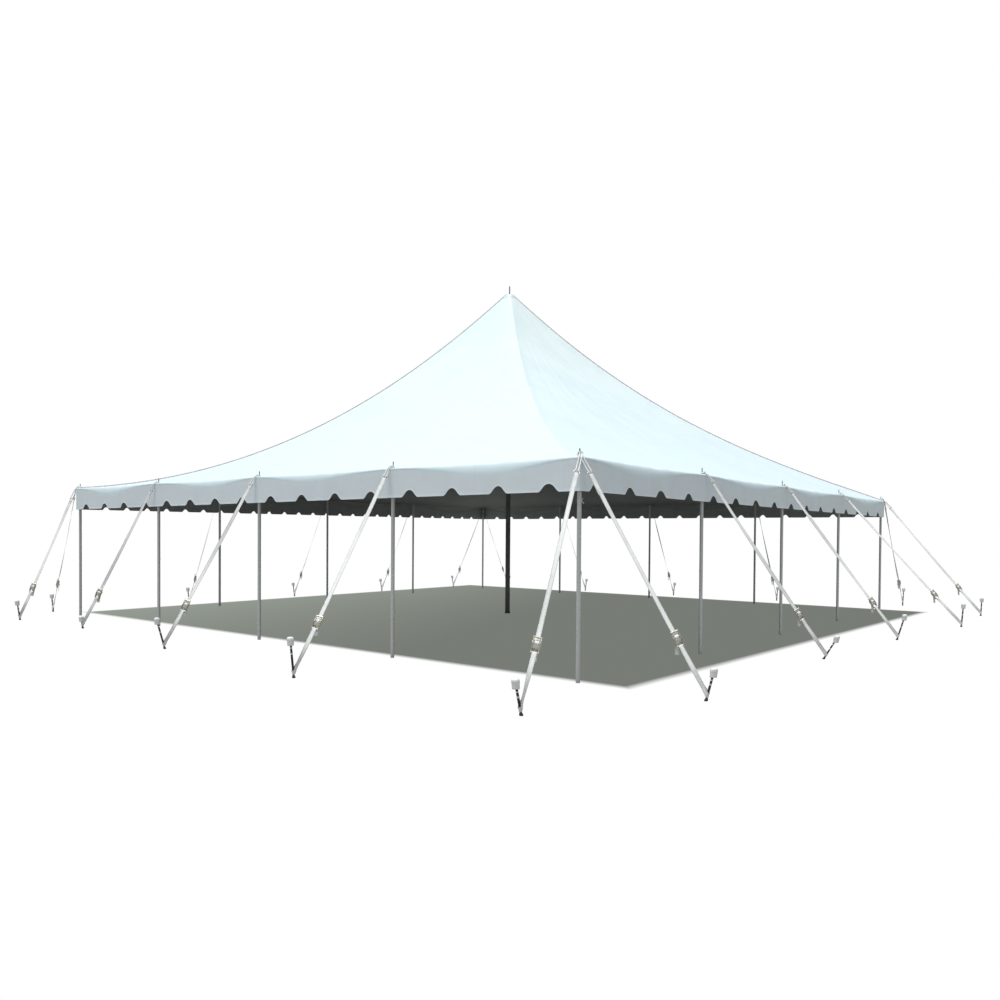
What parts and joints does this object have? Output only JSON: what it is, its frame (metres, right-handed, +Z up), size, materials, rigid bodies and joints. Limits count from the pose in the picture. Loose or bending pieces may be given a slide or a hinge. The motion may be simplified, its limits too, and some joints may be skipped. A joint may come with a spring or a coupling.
{
  "type": "pole tent",
  "caption": "Square white pole tent: a peaked canopy with a scalloped valance, on a centre pole and side poles, held out by ratchet straps to ground stakes.",
  "frame": {"origin": "centre of the centre pole's foot, on the level ground", "axes": "+Z up, -Y out of the south side (the long side that shows at the left of the picture), +X out of the east side"},
  "size_m": [15.9413, 16.3113, 7.03],
  "materials": {
    "canopy_vinyl": "smooth coated white tent vinyl, satin",
    "side_pole": "plain mill-finish tube, dulled by use",
    "dark_pole": "dark painted tube, satin",
    "webbing": "woven white polyester webbing",
    "stake_steel": "forged steel stake, dark, scuffed",
    "cap_plastic": "moulded white stake cap",
    "ratchet_steel": "zinc-plated ratchet and rings"
  },
  "bodies": {
    "root": {"roof_canopy": "canopy_vinyl", "valance_south": "canopy_vinyl", "valance_east": "canopy_vinyl", "valance_north": "canopy_vinyl", "valance_west": "canopy_vinyl", "centre_pole": "dark_pole", "pole_corner_sw": "side_pole", "pole_corner_se": "side_pole", "pole_corner_ne": "side_pole", "pole_corner_nw": "side_pole", "pole_south_1": "side_pole", "pole_south_2": "side_pole", "pole_south_3": "side_pole", "pole_east_1": "side_pole", "pole_east_2": "side_pole", "pole_east_3": "side_pole", "pole_north_1": "side_pole", "pole_north_2": "side_pole", "pole_north_3": "side_pole", "pole_west_1": "side_pole", "pole_west_2": "side_pole", "pole_west_3": "side_pole", "straps_corner_sw": "webbing", "straps_corner_se": "webbing", "straps_corner_ne": "webbing", "straps_corner_nw": "webbing", "strap_south_1": "webbing", "strap_south_2": "webbing", "strap_south_3": "webbing", "strap_east_1": "webbing", "strap_east_2": "webbing", "strap_east_3": "webbing", "strap_north_1": "webbing", "strap_north_2": "webbing", "strap_north_3": "webbing", "strap_west_1": "webbing", "strap_west_2": "webbing", "strap_west_3": "webbing", "stake_corner_sw_south": "stake_steel", "stake_corner_sw_west": "stake_steel", "stake_corner_se_south": "stake_steel", "stake_corner_se_east": "stake_steel", "stake_corner_ne_east": "stake_steel", "stake_corner_ne_north": "stake_steel", "stake_corner_nw_north": "stake_steel", "stake_corner_nw_west": "stake_steel", "stake_south_1": "stake_steel", "stake_south_2": "stake_steel", "stake_south_3": "stake_steel", "stake_east_1": "stake_steel", "stake_east_2": "stake_steel", "stake_east_3": "stake_steel", "stake_north_1": "stake_steel", "stake_north_2": "stake_steel", "stake_north_3": "stake_steel", "stake_west_1": "stake_steel", "stake_west_2": "stake_steel", "stake_west_3": "stake_steel"}
  },
  "joints": []
}
